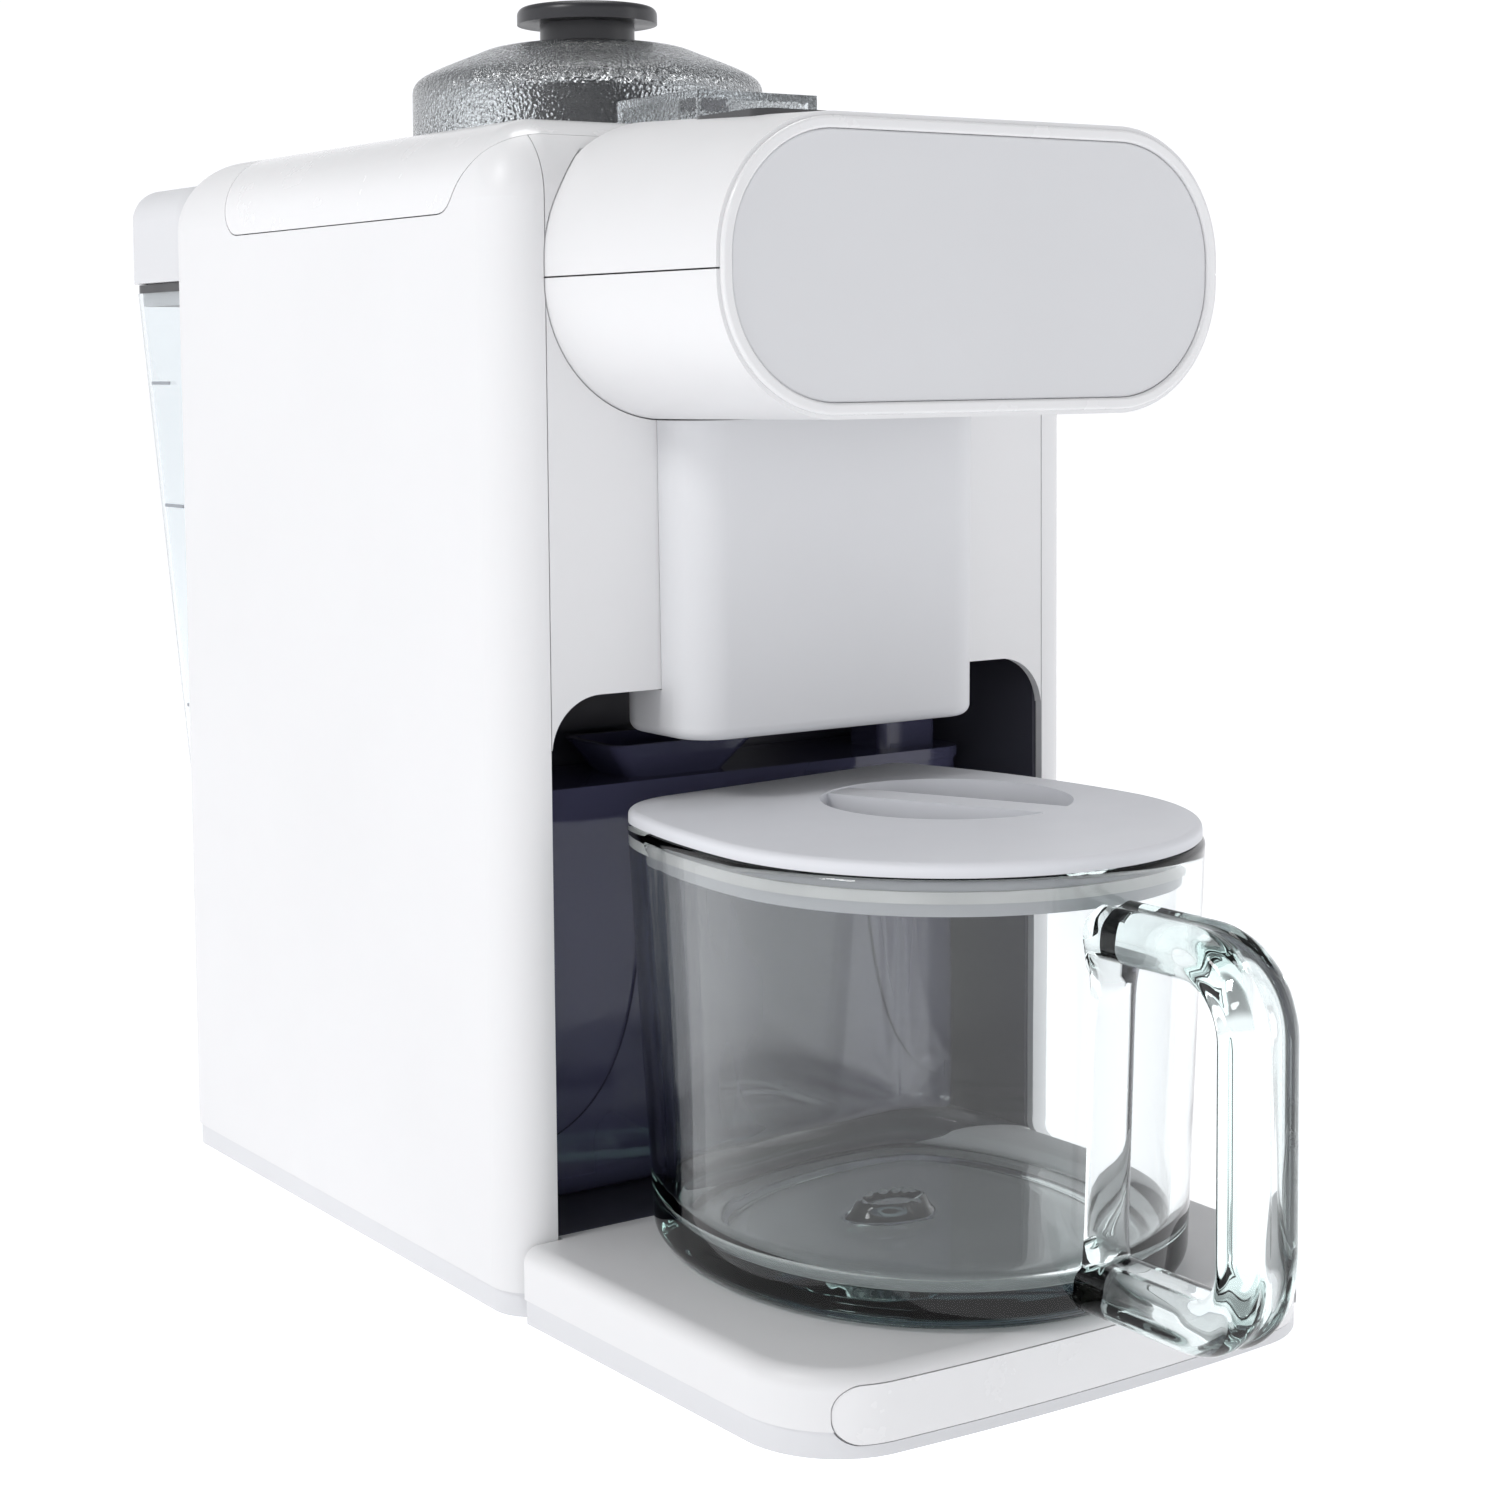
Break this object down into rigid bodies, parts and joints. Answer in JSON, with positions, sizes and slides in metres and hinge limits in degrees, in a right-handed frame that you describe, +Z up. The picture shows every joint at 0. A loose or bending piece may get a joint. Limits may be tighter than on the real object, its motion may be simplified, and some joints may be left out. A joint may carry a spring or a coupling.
{
  "type": "electric all in one brewer",
  "caption": "Tall countertop brewer with a projecting rounded head, grinder lid on top, rear water tank, front drip platform and a clear glass jug with a loop handle.",
  "frame": {"origin": "centre of the bounding box in plan, on the plane the feet stand on", "axes": "+Z up, front of the machine and jug handle towards -Y, +X to the right of someone facing the back from the front"},
  "size_m": [0.18, 0.429, 0.34],
  "materials": {
    "white_plastic": "satin",
    "gloss_white": "gloss",
    "light_grey_plastic": "satin",
    "liner_grey": "satin",
    "lid_white": "satin",
    "black_plastic": "satin",
    "clear_plastic": "clear",
    "smoky_plastic": "clear",
    "jug_glass": "clear",
    "rubber_grey": "matte",
    "silicone": "matte",
    "touch_black": "gloss",
    "stainless": "brushed",
    "steel": "machined",
    "laminated_steel": "stacked sheet",
    "copper": "enamelled wire",
    "board_green": "lacquered",
    "magnet": "plated",
    "mark_grey": "printed"
  },
  "bodies": {
    "machine_group": {"base_pan": "light_grey_plastic", "feet": "rubber_grey", "base_screws": "steel", "side_panel_left": "white_plastic", "side_panel_right": "white_plastic", "rear_panel": "white_plastic", "saddle_cover": "gloss_white", "head_upper_shell": "white_plastic", "head_lower_shell": "white_plastic", "head_face_ring": "gloss_white", "head_face_panel": "light_grey_plastic", "control_panel": "touch_black", "front_fascia": "white_plastic", "nozzle_cover": "light_grey_plastic", "nozzle_plate": "black_plastic", "nozzles": "silicone", "recess_liner": "liner_grey", "tray_base": "light_grey_plastic", "drip_platform": "white_plastic", "tray_band": "gloss_white", "tank_dock": "light_grey_plastic", "grinder_cup": "stainless", "heater_bands": "steel", "bearing_housing": "steel", "shaft_bearings": "steel", "shaft_seal": "silicone", "motor_stator": "laminated_steel", "motor_coils": "copper", "motor_bracket": "steel", "rubber_mounts": "rubber_grey", "chassis_frame": "liner_grey", "boiler": "stainless", "boiler_saddle": "liner_grey", "pump": "black_plastic", "hose_set": "silicone", "drain_valve": "black_plastic", "circuit_boards": "board_green", "mains_inlet": "black_plastic"},
    "rotor_group": {"blade_shaft": "steel", "grinder_blade": "stainless", "blade_nut": "stainless", "motor_coupling": "black_plastic", "motor_rotor": "laminated_steel"},
    "button_group": {"start_button": "gloss_white"},
    "tank_group": {"water_tank": "clear_plastic", "tank_level_marks": "mark_grey", "tank_valve": "black_plastic"},
    "tank_lid_group": {"tank_lid": "light_grey_plastic", "tank_lid_seal": "black_plastic"},
    "waste_group": {"waste_tank": "smoky_plastic", "waste_tank_lid": "smoky_plastic"},
    "jug_group": {"jug_glass": "jug_glass"},
    "jug_lid_group": {"jug_lid": "lid_white", "jug_lid_seal": "silicone"},
    "grinder_lid_group": {"grinder_lid": "clear_plastic", "lid_magnet": "magnet", "lid_plug": "black_plastic", "lid_seal": "silicone", "lid_knob": "black_plastic"}
  },
  "joints": [
    {"name": "blade_spin", "type": "hinge", "parent": "machine_group", "child": "rotor_group", "pos_m": [0, 0.0655, 0.2], "axis": [0, 0, 1], "range_deg": [-180, 180]},
    {"name": "button_press", "type": "slide", "parent": "machine_group", "child": "button_group", "axis": [0, 0, -1], "range_m": [0, 0.001]},
    {"name": "tank_lift", "type": "slide", "parent": "machine_group", "child": "tank_group", "axis": [0, 0, 1], "range_m": [0, 0.16]},
    {"name": "tank_lid_lift", "type": "slide", "parent": "tank_group", "child": "tank_lid_group", "axis": [0, 0, 1], "range_m": [0, 0.06]},
    {"name": "waste_tank_pull", "type": "slide", "parent": "machine_group", "child": "waste_group", "axis": [0, -1, 0], "range_m": [0, 0.13]},
    {"name": "jug_pull", "type": "slide", "parent": "waste_group", "child": "jug_group", "axis": [0, -1, 0], "range_m": [0, 0.16]},
    {"name": "jug_lid_lift", "type": "slide", "parent": "jug_group", "child": "jug_lid_group", "axis": [0, 0, 1], "range_m": [0, 0.015]},
    {"name": "grinder_lid_lift", "type": "slide", "parent": "machine_group", "child": "grinder_lid_group", "axis": [0, 0, 1], "range_m": [0, 0.08]}
  ]
}
